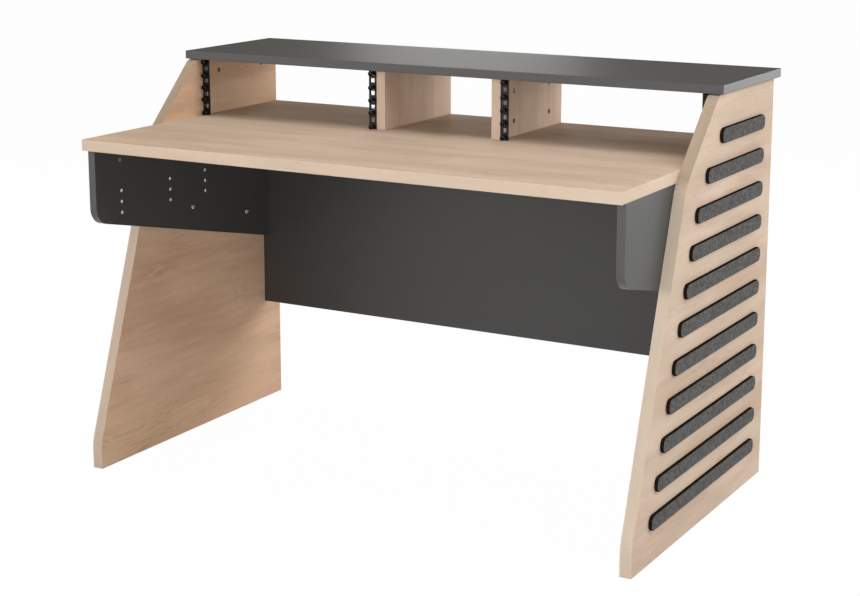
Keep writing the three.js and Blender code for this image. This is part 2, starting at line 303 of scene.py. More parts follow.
class Wiring:
    """Adds nodes to a tree and links them. An input is a socket, or a value for its own field."""

    def __init__(self, tree):
        self.tree = tree

    def feed(self, socket, value):
        if isinstance(value, bpy.types.NodeSocket):
            self.tree.links.new(value, socket)
        else:
            socket.default_value = value

    def node(self, kind, inputs=None, **settings):
        node = self.tree.nodes.new(kind)
        for key, value in settings.items():
            setattr(node, key, value)
        for key, value in (inputs or {}).items():
            self.feed(node.inputs[key], value)
        return node

    def point(self):
        return self.node("ShaderNodeTexCoord").outputs["Object"]

    def normal(self):
        return self.node("ShaderNodeNewGeometry").outputs["Normal"]

    def math(self, operation, *values, clamp=False):
        node = self.node("ShaderNodeMath", operation=operation, use_clamp=clamp)
        for socket, value in zip(node.inputs, values):
            self.feed(socket, value)
        return node.outputs[0]

    def product(self, first, *others):
        for other in others:
            first = self.math("MULTIPLY", first, other)
        return first

    def minus(self, value, other):
        return self.math("SUBTRACT", value, other)

    def vector(self, operation, *values):
        node = self.node("ShaderNodeVectorMath", operation=operation)
        for socket, value in zip(node.inputs, values):
            self.feed(socket, value)
        return node.outputs["Value" if operation == "DOT_PRODUCT" else "Vector"]

    def dot(self, one, other):
        return self.vector("DOT_PRODUCT", one, other)

    def combined(self, x, y, z):
        return self.node("ShaderNodeCombineXYZ", {"X": x, "Y": y, "Z": z}).outputs["Vector"]

    def split(self, vector):
        return self.node("ShaderNodeSeparateXYZ", {"Vector": vector}).outputs

    def noise(self, point, scales, detail=2.0, roughness=0.5, distortion=0.0):
        """Noise at a point whose axes are scaled by three values, or all by one socket's."""
        if isinstance(scales, bpy.types.NodeSocket) and scales.type == "VALUE":
            scales = self.combined(scales, scales, scales)
        inputs = {
            "Vector": self.vector("MULTIPLY", point, scales),
            "Scale": 1.0,
            "Detail": detail,
            "Roughness": roughness,
            "Distortion": distortion,
        }
        return self.node("ShaderNodeTexNoise", inputs).outputs["Fac"]

    def ramp(self, value, low, high, to_low=0.0, to_high=1.0):
        """Eases a value from one range into another, and clamps it there."""
        ends = {"From Min": low, "From Max": high, "To Min": to_low, "To Max": to_high}
        inputs = {"Value": value, **ends}
        node = self.node("ShaderNodeMapRange", inputs, interpolation_type="SMOOTHSTEP")
        return node.outputs["Result"]

    def mix(self, share, one, other, kind="RGBA"):
        """Mixes two colours, or two vectors."""
        node = self.node("ShaderNodeMix", data_type=kind)
        self.feed(node.inputs[0], share)
        sockets = [socket for socket in node.inputs if socket.type == kind]
        for socket, value in zip(sockets[-2:], (one, other)):
            self.feed(socket, value)
        return next(socket for socket in node.outputs if socket.type == kind)

    def shade(self, colour, value):
        """Multiplies a colour by a value."""
        return self.vector("MULTIPLY", colour, self.combined(value, value, value))

    def bump(self, height, distance):
        inputs = {"Height": height, "Distance": distance, "Strength": 1.0}
        return self.node("ShaderNodeBump", inputs).outputs["Normal"]

    def group(self, name, build, **values):
        """Places a node group, built once, with values for its named sockets."""
        tree = bpy.data.node_groups.get(name) or build(name)
        node = self.node("ShaderNodeGroup", node_tree=tree)
        for key, value in values.items():
            node.inputs[key.replace("_", " ").title()].default_value = value
        return node.outputs


SOCKETS = {"colour": "NodeSocketColor", "value": "NodeSocketFloat", "vector": "NodeSocketVector"}


def new_group(name, inputs, outputs):
    """A shader node group with named sockets, its wiring and its input and output nodes."""
    group = bpy.data.node_groups.new(name, "ShaderNodeTree")
    for in_out, sockets in (("INPUT", inputs), ("OUTPUT", outputs)):
        for socket, kind in sockets.items():
            group.interface.new_socket(name=socket, in_out=in_out, socket_type=SOCKETS[kind])
    w = Wiring(group)
    return group, w, w.node("NodeGroupInput").outputs, w.node("NodeGroupOutput").inputs


def new_material(name, **values):
    """A material with a Principled BSDF whose named sockets hold plain values, and its wiring."""
    material = bpy.data.materials.new(name)
    material.use_nodes = True
    shader = node_of(material.node_tree, "BSDF_PRINCIPLED")
    for key, value in values.items():
        socket = key.replace("_", " ").title().replace("Ior", "IOR")
        shader.inputs[socket].default_value = value
    return material, Wiring(material.node_tree), shader.inputs


def material_named(name, build, *arguments):
    """The material of that name, built once."""
    return bpy.data.materials.get(name) or build(name, *arguments)


# Node groups. Scales of noise are in waves per metre.

def edge_mask(w, normal, board_axis):
    """One where a surface turns away from its board's axis, zero on the faces."""
    return w.math("LESS_THAN", w.math("ABSOLUTE", w.dot(normal, board_axis)), EDGE_COSINE)


def oak_group(name):
    """Oak decor. On a board's faces the pattern runs along the grain axis, and on its edges along
    the edge. Streaks, arches, pores and saw marks are noise and ring patterns stretched along the
    grain. Their scales are along the grain, across it and through the board. The crown is where an
    edge slants far back and faces up, and its banding is darkened there: painted shade."""
    group, w, given, result = new_group(
        name,
        {
            "Grain Axis": "vector",
            "Board Axis": "vector",
            "Offset": "value",
            "Light": "colour",
            "Middle": "colour",
            "Dark": "colour",
            "Yellow": "colour",
            "Banding": "colour",
            "Banding Tint": "vector",
            "Crown Tint": "vector",
            "Arches": "value",
            "Figure": "value",
        },
        {"Color": "colour", "Roughness": "value", "Height": "value"},
    )
    light, middle, dark = given["Light"], given["Middle"], given["Dark"]
    grain, board, figure = given["Grain Axis"], given["Board Axis"], given["Figure"]
    point, normal = w.point(), w.normal()
    edge = edge_mask(w, normal, board)
    through = w.dot(point, board)
    along_grain = w.math("ADD", w.dot(point, grain), given["Offset"])
    across_grain = w.dot(point, w.vector("CROSS_PRODUCT", board, grain))
    along_edge = w.dot(point, w.vector("CROSS_PRODUCT", normal, board))
    face_point = w.combined(along_grain, across_grain, through)
    edge_point = w.combined(along_edge, through, w.dot(point, normal))
    place = w.mix(edge, face_point, edge_point, "VECTOR")

    sway = w.noise(place, (1.6, 5.0, 3.0), detail=1.0)
    straight = w.split(place)
    swayed = w.math("MULTIPLY_ADD", w.minus(sway, 0.5), 0.03, straight["Y"])
    bent = w.combined(straight["X"], swayed, straight["Z"])
    broad = w.noise(bent, (2.6, 15.0, 5.0), detail=3.0, roughness=0.55)
    streak = w.noise(bent, (6.0, 80.0, 12.0), detail=5.0, roughness=0.62)
    fibre = w.noise(bent, (24.0, 620.0, 60.0), detail=3.0, roughness=0.6)
    dash = w.noise(bent, (13.0, 230.0, 40.0), detail=2.0)
    pore = w.ramp(w.noise(bent, (55.0, 1400.0, 300.0), detail=1.0), 0.6, 0.74)
    saw = w.noise(place, (380.0, 9.0, 9.0), detail=1.0)
    hue = w.noise(bent, (2.2, 8.0, 3.0), detail=1.0)

    flame = w.noise(place, (3.4, 17.0, 4.0), detail=1.0, distortion=0.3)
    rings = w.math("MULTIPLY_ADD", streak, 2.2, w.product(flame, 13.0))
    wave = w.ramp(w.math("PINGPONG", rings, 0.5), 0.0, 0.5)
    patch = w.ramp(w.noise(place, (3.4, 9.0, 3.0), detail=1.0), 0.5, 0.7)
    broken = w.ramp(dash, 0.36, 0.6, 0.2, 1.0)
    arches = w.product(wave, patch, broken, given["Arches"])

    mean_tone = 0.36
    narrow, wide = w.ramp(streak, 0.34, 0.68, 0.0, 0.3), w.ramp(broad, 0.34, 0.66, -0.16, 0.62)
    swing = w.minus(w.math("ADD", narrow, wide), mean_tone)
    tone = w.math("MULTIPLY_ADD", swing, figure, mean_tone, clamp=True)
    colour = w.mix(tone, light, middle)
    colour = w.mix(w.ramp(hue, 0.4, 0.66, 0.0, 0.45), colour, given["Yellow"])
    colour = w.mix(w.product(w.ramp(fibre, 0.5, 0.74, 0.0, 0.22), figure), colour, middle)
    colour = w.mix(w.product(w.ramp(dash, 0.62, 0.76, 0.0, 0.2), figure), colour, dark)
    colour = w.mix(arches, colour, dark)
    colour = w.mix(w.product(pore, 0.3), colour, dark)

    banding_share = 0.42
    banded = w.mix(banding_share, colour, given["Banding"])
    banded = w.vector("MULTIPLY", banded, given["Banding Tint"])
    # Painted shade: the banding is darkened where it faces up, on the slanted crown.
    crown = w.ramp(w.split(normal)["Z"], 0.38, 0.66)
    banded = w.mix(crown, banded, w.vector("MULTIPLY", banded, given["Crown Tint"]))
    colour = w.mix(edge, colour, banded)
    marks = w.product(w.minus(w.ramp(saw, 0.3, 0.7), 0.5), w.minus(1.0, edge))
    w.feed(result["Color"], w.shade(colour, w.math("MULTIPLY_ADD", marks, 0.02, 1.0)))
    w.feed(result["Roughness"], w.ramp(fibre, 0.3, 0.7, 0.52, 0.66))
    relief = w.math("MULTIPLY_ADD", pore, -0.8, w.product(fibre, 0.5))
    w.feed(result["Height"], w.math("MULTIPLY_ADD", saw, 0.25, relief))
    return group


def banding_group(name):
    """Tells a board's banded edges from its faces."""
    group, w, given, result = new_group(name, {"Board Axis": "vector"}, {"Edge": "value"})
    w.feed(result["Edge"], edge_mask(w, w.normal(), given["Board Axis"]))
    return group


def pearl_group(name):
    """A fine pearl relief: rounded grains of noise, and a faint broad mottle."""
    group, w, given, result = new_group(
        name,
        {"Grains": "value", "Mottle Scale": "value"},
        {"Height": "value", "Speckle": "value", "Mottle": "value"},
    )
    point = w.point()

    def grains(share, detail):
        return w.ramp(w.noise(point, w.product(given["Grains"], share), detail=detail), 0.3, 0.7)

    w.feed(result["Height"], grains(1.0, 1.0))
    w.feed(result["Speckle"], grains(2.1, 0.0))
    w.feed(result["Mottle"], w.noise(point, given["Mottle Scale"], detail=3.0))
    return group


def felt_group(name):
    """Pressed felt: fibres as noise stretched three ways and bent by a broader noise, light flecks
    where they gather, and a mottle of darker and lighter clouds."""
    group, w, given, result = new_group(
        name,
        {"Fibres": "value", "Clouds": "value"},
        {"Height": "value", "Fleck": "value", "Cloud": "value"},
    )
    point = w.point()
    bend = w.noise(point, (160.0, 160.0, 160.0), detail=1.0)
    shift = w.product(w.minus(bend, 0.5), 0.012)
    bent = w.vector("ADD", point, w.combined(shift, shift, w.product(shift, -1.0)))

    def strands(*shares):
        scales = w.combined(*[w.product(given["Fibres"], share) for share in shares])
        return w.noise(bent, scales, detail=2.0, roughness=0.6)

    fibres = w.math("MAXIMUM", strands(1.0, 1.0, 0.3), strands(1.0, 0.3, 1.0))
    fibres = w.math("MAXIMUM", fibres, strands(0.6, 0.6, 0.6))
    cloud = w.noise(point, given["Clouds"], detail=3.0, roughness=0.6)
    w.feed(result["Height"], w.math("MULTIPLY_ADD", cloud, 0.5, fibres))
    w.feed(result["Fleck"], w.ramp(fibres, 0.54, 0.72))
    w.feed(result["Cloud"], w.ramp(cloud, 0.34, 0.66))
    return group


def metal_group(name):
    """Worn metal: a fine drag of scratches that varies the roughness, and a faint tarnish."""
    group, w, given, result = new_group(
        name,
        {"Smooth": "value", "Rough": "value"},
        {"Roughness": "value", "Tarnish": "value", "Height": "value"},
    )
    point, smooth = w.point(), given["Smooth"]
    drag = w.noise(point, (900.0, 900.0, 4200.0), detail=3.0, roughness=0.6)
    tarnish = w.noise(point, (420.0, 420.0, 420.0), detail=2.0)
    roughness = w.math(
        "MULTIPLY_ADD", w.ramp(drag, 0.3, 0.7), w.minus(given["Rough"], smooth), smooth
    )
    w.feed(result["Roughness"], roughness)
    w.feed(result["Tarnish"], w.ramp(tarnish, 0.35, 0.7))
    w.feed(result["Height"], drag)
    return group


# Materials

def oak_material(name, look, grain_axis, board_axis, offset, arches, figure, tint, banding_tint):
    """Oak decor whose grain runs along an axis of the board. The tints paint light and shade: they
    set a board and its banding a little apart to fit how each is lit."""
    material, w, shader = new_material(
        name,
        specular_ior_level=0.0,
        coat_weight=look.oak_satin,
        coat_roughness=look.oak_satin_roughness,
    )
    # Painted light and shade: the tints change this board's copy of the oak to fit how it is lit.
    oak = w.group(
        "Oak decor",
        oak_group,
        grain_axis=grain_axis,
        board_axis=board_axis,
        offset=offset,
        arches=look.oak_arches * arches,
        figure=figure,
        light=tinted(look.oak_light, tint),
        middle=tinted(look.oak_middle, tint),
        dark=tinted(look.oak_dark, tint),
        yellow=tinted(look.oak_yellow, tint),
        banding=opaque(look.oak_banding),
        banding_tint=banding_tint,
        crown_tint=look.crown_tint,
    )
    w.feed(shader["Base Color"], oak["Color"])
    w.feed(shader["Roughness"], oak["Roughness"])
    w.feed(shader["Normal"], w.bump(oak["Height"], look.pore_depth))
    return material


def dark_board_material(name, look, board_axis, tint, banding_tone, satin):
    """Dark faced board with a pearl relief, a satin coat of a given weight on its faces, and a
    glossier banding on its edges. Its tint paints shade and light on this board's copy of the
    decor."""
    material, w, shader = new_material(
        name, specular_ior_level=0.0, coat_roughness=look.dark_satin_roughness
    )
    pearl = w.group("Pearl relief", pearl_group, grains=850.0, mottle_scale=22.0)
    edge = w.group("Banding", banding_group, board_axis=board_axis)["Edge"]
    share = w.math("MULTIPLY_ADD", pearl["Mottle"], 0.4, w.product(pearl["Speckle"], 0.6))
    # Painted shade: the tint darkens the modesty panel and the brackets, the same board as the
    # shelf, where they sit in shade under the desktop.
    face, band = tinted(look.dark_board, tint), tinted(look.dark_banding, banding_tone)
    speckled = w.shade(w.mix(edge, face, band), w.ramp(share, 0.2, 0.8, 0.92, 1.08))
    w.feed(shader["Coat Weight"], w.ramp(edge, 0.0, 1.0, satin, look.banding_satin))
    w.feed(shader["Base Color"], speckled)
    w.feed(shader["Roughness"], w.ramp(pearl["Height"], 0.0, 1.0, 0.66, 0.76))
    w.feed(shader["Normal"], w.bump(pearl["Height"], look.pearl_depth))
    return material


def powder_coat_material(name, look):
    """Black powder coat with a fine orange-peel relief."""
    material, w, shader = new_material(name, specular_ior_level=0.2)
    pearl = w.group("Pearl relief", pearl_group, grains=1300.0, mottle_scale=60.0)
    base, light = opaque(look.black_coat), tinted(look.black_coat, 1.7)
    w.feed(shader["Base Color"], w.mix(pearl["Mottle"], base, light))
    w.feed(shader["Roughness"], w.ramp(pearl["Height"], 0.0, 1.0, 0.34, 0.46))
    w.feed(shader["Normal"], w.bump(pearl["Height"], look.coat_depth))
    return material


def metal_material(name, look, colour, tarnish, smooth, rough, metallic=1.0):
    """Plated metal of a colour, with scratches, and a tarnish that takes it down to a share."""
    material, w, shader = new_material(name, metallic=metallic)
    metal = w.group("Worn metal", metal_group, smooth=smooth, rough=rough)
    tarnished = tinted(colour, tarnish)
    w.feed(shader["Base Color"], w.mix(metal["Tarnish"], opaque(colour), tarnished))
    w.feed(shader["Roughness"], metal["Roughness"])
    w.feed(shader["Normal"], w.bump(metal["Height"], look.scratch_depth))
    return material


def nickel_material(name, look):
    return metal_material(name, look, look.nickel, tarnish=0.82, smooth=0.24, rough=0.4)


def pale_zinc_material(name, look):
    """The inserts' finish: a near-white that is not metallic."""
    return metal_material(
        name, look, look.pale_zinc, tarnish=0.9, smooth=0.4, rough=0.55, metallic=0.0
    )


def black_zinc_material(name, look):
    return metal_material(name, look, look.black_zinc, tarnish=0.6, smooth=0.2, rough=0.36)


# A dark metal for the cams in the boards.
def dark_cam_material(name, look):
    return metal_material(name, look, look.dark_cam_metal, tarnish=0.5, smooth=0.34, rough=0.5)


def felt_material(name, look, dark, light, clouds, sheen):
    """Pressed felt between a dark and a light tone of wool."""
    material, w, shader = new_material(
        name, specular_ior_level=0.0, roughness=0.95, sheen_weight=sheen, sheen_roughness=0.6
    )
    felt = w.group("Pressed felt", felt_group, fibres=1100.0, clouds=clouds)
    share = w.math("MULTIPLY_ADD", felt["Cloud"], 0.68, w.product(felt["Fleck"], 0.32))
    w.feed(shader["Base Color"], w.mix(share, opaque(dark), opaque(light)))
    w.feed(shader["Normal"], w.bump(felt["Height"], look.fibre_depth))
    return material


# CAD boards and rails

def finish_board(node, material, rounding, segments):
    """Gives a CAD node its material, and rounds its edges inside the solid."""
    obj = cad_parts[node]
    for slot in obj.material_slots:
        slot.material = material
    weld = obj.modifiers.new("Corners joined", "WELD")
    weld.merge_threshold = WELD_DISTANCE
    flat = obj.modifiers.new("Faces made whole", "DECIMATE")
    flat.decimate_type = "DISSOLVE"
    flat.angle_limit = math.radians(FLAT_DEGREES)
    edge = obj.modifiers.new("Edges rounded", "BEVEL")
    edge.width = rounding
    edge.segments = segments
    edge.limit_method = "ANGLE"
    edge.angle_limit = math.radians(ROUNDED_DEGREES)
    edge.use_clamp_overlap = True


# Hardware shapes

def pan_screw(
    head_radius, head_side, dome, recess, radius, length, pitch, thread, tip, sides=32
):
    """A screw along -Z whose head rests on height 0: a threaded shank, a round head with an
    elliptic dome of height dome sin t at radius cos t, and a cross recess that narrows to its
    floor."""
    top = head_side + dome
    rim = 1.15 * recess / head_radius
    turns = np.linspace(0.0, math.acos(rim), 6)
    head = [(head_radius * 0.97, 0.0), (head_radius, head_radius * 0.04)]
    head += [(head_radius * math.cos(turn), head_side + dome * math.sin(turn)) for turn in turns]
    brim = head[-1][1]
    head += [
        (cross_outline(recess, recess * 0.42), brim),
        (cross_outline(recess * 0.93, recess * 0.36), brim - 0.12 * top),
        (cross_outline(recess * 0.5, recess * 0.25), brim - 0.62 * top),
        (recess * 0.1, brim - 0.7 * top),
    ]
    shank = thread_rows(radius, length, pitch, thread, tip, sides)
    return turned(np.concatenate([shank, ring_rows(head, sides)], axis=1))


def square_nut(half, low, high, bore, sides=32):
    """A square nut with rounded corners between two heights, whose bore is chamfered at both
    ends."""
    edge = 0.5 * MM
    stations = [
        (square_outline(half - edge), low),
        (square_outline(half), low + edge),
        (square_outline(half), high - edge),
        (square_outline(half - edge), high),
        (bore + edge, high),
        (bore, high - edge),
        (bore, low + edge),
        (bore + edge, low),
    ]
    return turned(ring_rows(stations, sides), closed=True)


def rounded_path(corners, radius, steps=4):
    """A path in two dimensions through corners that are rounded: at each, the points of a
    quadratic curve from a radius before the corner to a radius behind it."""
    corners = np.array(corners, float)
    share = np.linspace(0.0, 1.0, steps + 1)[:, None]
    pieces = [corners[:1]]
    for before, corner, after in zip(corners[:-2], corners[1:-1], corners[2:]):
        start = corner + (before - corner) / np.linalg.norm(before - corner) * radius
        end = corner + (after - corner) / np.linalg.norm(after - corner) * radius
        bend = 2 * share * (1 - share) * corner
        pieces.append((1 - share) ** 2 * start + bend + share**2 * end)
    return np.vstack(pieces + [corners[-1:]])


def bent_sheet(path, thickness, low, high):
    """A sheet whose section is a path in (x, z), from a low to a high y. Its four corners at a
    path's point are the point half the thickness to either side of the path, at both ends in y."""
    along = np.gradient(path, axis=0)
    along /= np.linalg.norm(along, axis=1, keepdims=True)
    aside = np.stack([-along[:, 1], along[:, 0]], axis=-1) * thickness / 2
    rows = [(path + aside, low), (path - aside, low), (path - aside, high), (path + aside, high)]
    corners = [
        np.stack([flat[:, 0], np.full(len(flat), y), flat[:, 1]], axis=-1) for flat, y in rows
    ]
    points = np.stack(corners, axis=1).reshape(-1, 3)
    last = 4 * (len(path) - 1)
    ends = [[3, 2, 1, 0], [last, last + 1, last + 2, last + 3]]
    return points, grid_faces(len(path), 4, False) + ends


def cam(radius, depth, recess, sides=32):
    """A round cam along Z, from its pocket's floor up to just under height 0, with a ring groove
    and a cross recess."""
    face = -0.35 * MM
    groove = 0.5 * MM
    stations = [
        (radius - groove, -depth),
        (radius, -depth + groove),
        (radius, face - groove),
        (radius - groove, face),
        (radius * 0.80, face),
        (radius * 0.77, face - groove),
        (radius * 0.70, face - groove),
        (radius * 0.67, face),
        (cross_outline(recess, recess * 0.4), face),
        (cross_outline(recess * 0.9, recess * 0.34), face - 0.8 * MM),
        (cross_outline(recess * 0.55, recess * 0.25), face - 2.6 * MM),
        (recess * 0.1, face - 3.0 * MM),
    ]
    return turned(ring_rows(stations, sides))


def insert_sleeve(radius, depth, sides=24):
    """A threaded sleeve along -Z whose flange lies just under height 0, with barbs outside and a
    hexagon opening that leads into its bore."""
    face = -0.2 * MM
    barb = 0.35 * MM
    bore = radius * 0.42
    barbs = np.linspace(-depth + barb, -0.3 * depth, 5)
    stations = [(radius - barb, -depth)]
    for low, high in zip(barbs[:-1], barbs[1:]):
        stations += [(radius - barb, low), (radius, high - 0.1 * MM)]
    stations += [
        (radius, face - 0.2 * MM),
        (radius - 0.2 * MM, face),
        (hexagon_outline(bore + 0.3 * MM), face),
        (hexagon_outline(bore), face - 0.4 * MM),
        (hexagon_outline(bore), face - 0.4 * depth),
        (bore * 0.9, face - 0.45 * depth),
        (bore * 0.9, face - 0.85 * depth),
    ]
    return turned(ring_rows(stations, sides))


def cage_nut(flange_front):
    """A cage nut behind a rail's square hole. The nut floats in a bent sheet that grips the hole's
    sides and hooks over its front. Heights are measured from the seat of the screw's head."""
    sheet, hook, inside, outside = 0.6 * MM, 5.3 * MM, 4.3 * MM, 5.6 * MM
    lip, bend, half_height = 0.4 * MM, 0.35 * MM, 3.9 * MM
    nut_half, nut_play, nut_bore = 4.8 * MM, 1.0 * MM, 2.95 * MM
    flange_back = flange_front - RAIL_SHEET
    back = flange_back - 5.15 * MM
    half_path = [
        (-hook, flange_front + lip),
        (-inside, flange_front + lip),
        (-inside, flange_back - sheet),
        (-outside, flange_back - sheet),
        (-outside, back),
    ]
    path = rounded_path(half_path + [(-x, z) for x, z in reversed(half_path)], bend)
    cage = bent_sheet(path, sheet, -half_height, half_height)
    return joined([cage, square_nut(nut_half, back + lip, flange_back - nut_play, nut_bore)])


# Felt strips

def wave_field(x, y, size, seed, waves=28):
    """A smooth random field of about -1 to 1: the sum of sine waves with seeded directions and
    phases, and lengths around a size."""
    chance = np.random.default_rng(seed)
    heading, phase = chance.uniform(0, 2 * math.pi, (2, waves))
    number = 2 * math.pi / (size * chance.uniform(0.6, 1.8, waves))
    across = x[..., None] * np.cos(heading) * number
    turn = across + y[..., None] * np.sin(heading) * number + phase
    return np.sin(turn).sum(axis=-1) / math.sqrt(2 * waves)


def bar_outline(half_length, half_height, corner, along, up, turns):
    """Points round a bar with rounded corners: four times a straight run along the bar's edge and
    then a quarter circle, whose points are its centre plus the corner's radius times (cos t,
    sin t)."""
    reach, rise = half_length - corner, half_height - corner
    centres = np.array([(reach, -rise), (reach, rise), (-reach, rise), (-reach, -rise)])
    pieces = []
    for index, count in enumerate((along, up, along, up)):
        turn = (index - 1 + np.linspace(0.0, 1.0, turns, endpoint=False)) * math.pi / 2
        arc = corner * np.stack([np.cos(turn), np.sin(turn)], axis=-1)
        share = np.linspace(0.0, 1.0, count, endpoint=False)[:, None]
        run = centres[index] - centres[index - 1]
        pieces += [centres[index - 1] + run * share + arc[0], centres[index] + arc]
    return np.vstack(pieces)


def felt_strip(length, height, thickness, relief, seed):
    """A pressed felt strip that lies on height 0. Each row is the bar's outline drawn in by an
    inset, at a level of its own, and a wave field raises and lowers the face and moves the walls
    inwards."""
    half_height = height / 2
    along = int(length / STRIP_COLUMN)
    rows = []
    for inset, level in STRIP_WALL + STRIP_FACE:
        inset = inset * MM
        corner = STRIP_CORNER * (1 - inset / half_height)
        flat = bar_outline(length / 2 - inset, half_height - inset, corner, along, up=2, turns=7)
        wave = wave_field(flat[:, 0], flat[:, 1], FELT_WAVE, seed)
        rise = level * thickness + np.where(level > FACE_LEVEL, wave, 0.0) * relief
        if 0.0 < level < FACE_LEVEL:
            flat = flat * (1 - np.maximum(wave, 0.0) * relief / half_height)[:, None]
        rows.append(np.column_stack([flat, np.clip(rise, 0.0, thickness)]))
    columns = len(rows[0])
    top = (len(rows) - 1) * columns
    faces = grid_faces(len(rows), columns, False)
    faces += [list(range(columns))[::-1], list(range(top, top + columns))]
    wall_faces = (len(STRIP_WALL) - 1) * columns
    owners = [0] * wall_faces + [1] * (len(faces) - wall_faces)
    owners[-2] = 0
    return (np.vstack(rows), faces), owners


# What a user would change

def length_prop(name, description, default, high):
    return bpy.props.FloatProperty(
        name=name,
        description=description,
        default=default,
        min=0.0,
        max=high,
        unit="LENGTH",
        precision=5,
    )


def triple_prop(name, description, default, high, **kind):
    return bpy.props.FloatVectorProperty(
        name=name, description=description, default=default, min=0.0, max=high, size=3, **kind
    )


def colour_prop(name, description, default):
    return triple_prop(name, description, default, 1.0, subtype="COLOR")


# A tint that paints light and shade on one board's copy of its material.
def tint_prop(name, board, default):
    return triple_prop(name, f"How {board} differs", default, 2.0)


def share_prop(name, description, default, high=1.0):
    return bpy.props.FloatProperty(
        name=name, description=description, default=default, min=0.0, max=high
    )


class DeskBoards(bpy.types.PropertyGroup):
    edge_rounding: length_prop("Edge rounding", "Radius of the banded edges", 0.9 * MM, 3 * MM)
    rounding_segments: bpy.props.IntProperty(
        name="Rounding segments", description="Facets of a rounded edge", default=3, min=1, max=8
    )
    oak_light: colour_prop("Oak, light", "Pale tone of the oak", (0.70, 0.55, 0.43))
    oak_middle: colour_prop("Oak, middle", "Brown tone of the streaks", (0.54, 0.40, 0.295))
    oak_dark: colour_prop("Oak, dark", "Tone of the arches and pores", (0.34, 0.225, 0.15))
    oak_yellow: colour_prop("Oak, yellow", "Tone of the broad clouds", (0.605, 0.492, 0.362))
    oak_banding: colour_prop("Oak, banding", "Tone of the edge banding", (0.66, 0.555, 0.45))
    # The tints below paint light and shade. Each board's copy of the oak is fitted to how it is
    # lit: the left panel warmer, the dividers lighter, the right panel darker. The banding tints
    # take part of that back off the panels' banding, and the crown's tint is painted shade on the
    # slanted banding.
    crown_tint: tint_prop("Crown's painted shade", "the slanted crown's banding", (0.725, 0.69, 0.635))
    left_banding_tint: tint_prop(
        "Left banding's tint", "the left panel's banding", (0.86, 0.93, 1.0)
    )
    right_banding_tint: tint_prop(
        "Right banding's tint", "the right panel's banding", (1.0, 1.03, 1.04)
    )
    desktop_tint: tint_prop("Desktop's tint", "the desktop's oak", (1.03, 1.03, 1.05))
    left_panel_tint: tint_prop("Left panel's tint", "the left panel's oak", (1.12, 1.0, 0.92))
    right_panel_tint: tint_prop("Right panel's tint", "the right panel's oak", (0.92, 0.94, 0.98))
    divider_tint: tint_prop("Dividers' tint", "the dividers' oak", (1.10, 1.09, 1.14))
    oak_arches: share_prop("Arches", "Strength of the oak's arches", 0.34)
    oak_satin: share_prop("Oak's satin", "Weight of the oak's satin coat", 0.02)
    oak_satin_roughness: share_prop("Oak's satin roughness", "Roughness of that coat", 0.45)
    pore_depth: length_prop("Pore depth", "Depth of the oak's pore relief", 0.12 * MM, 1 * MM)
    dark_board: colour_prop("Dark board", "Tone of the dark boards' faces", (0.066, 0.066, 0.066))
    # These tints paint shade on one dark decor: the modesty panel and the brackets are darker than
    # the shelf where they sit in shade under the desktop, and the shelf's tint warms it a little.
    shelf_tint: tint_prop("Shelf's tint", "the shelf's board", (1.0, 0.97, 0.90))
    modesty_tint: tint_prop("Modesty panel's tint", "the modesty panel", (0.73, 0.74, 0.75))
    bracket_tint: tint_prop("Brackets' tint", "the brackets' board", (0.80, 0.82, 0.80))
    dark_banding: colour_prop("Dark banding", "Tone of the dark edges", (0.058, 0.057, 0.057))
    shelf_satin: share_prop("Shelf's satin", "Weight of the shelf's satin coat", 0.15)
    panel_satin: share_prop("Panels' satin", "Weight of the other dark boards' satin coat", 0.8)
    banding_satin: share_prop("Banding's satin", "Weight of the dark edges' satin coat", 1.0)
    dark_satin_roughness: share_prop("Satin roughness", "Roughness of those coats", 0.42)
    pearl_depth: length_prop("Pearl depth", "Depth of the dark boards' relief", 0.05 * MM, 1 * MM)


class DeskFelt(bpy.types.PropertyGroup):
    dark_wool: colour_prop("Dark wool", "Darker tone of the face", (0.029, 0.028, 0.027))
    light_wool: colour_prop("Light wool", "Lighter tone of the face", (0.124, 0.123, 0.121))
    cut_dark: colour_prop("Cut edge, dark", "Darker tone of the cut walls", (0.009, 0.006, 0.004))
    cut_light: colour_prop(
        "Cut edge, light", "Lighter tone of the cut walls", (0.028, 0.020, 0.014)
    )
    relief: length_prop("Relief", "Unevenness of the face", 0.16 * MM, 1 * MM)
    fibre_depth: length_prop("Fibre depth", "Depth of the fibres", 0.35 * MM, 2 * MM)
    sheen: share_prop("Sheen", "Sheen of the wool's loose ends", 0.12)


class DeskHardware(bpy.types.PropertyGroup):
    rail_rounding: length_prop("Rail rounding", "Radius of the rails' edges", 0.3 * MM, 1 * MM)
    black_coat: colour_prop("Black coat", "Colour of the rails", (0.008, 0.008, 0.008))
    coat_depth: length_prop("Coat depth", "Depth of the coat's orange peel", 0.02 * MM, 1 * MM)
    scratch_depth: length_prop("Scratches", "Depth of the metals' scratches", 0.02 * MM, 1 * MM)
    black_zinc: colour_prop("Black zinc", "Colour of the black screws", (0.024, 0.023, 0.022))
    nickel: colour_prop("Nickel", "Colour of the bracket screws and cams", (0.60, 0.59, 0.56))
    pale_zinc: colour_prop("Pale zinc", "Colour of the threaded inserts", (0.93, 0.93, 0.91))
    dark_cam_metal: colour_prop("Dark cam zinc", "Colour of the boards' cams", (0.055, 0.045, 0.038))


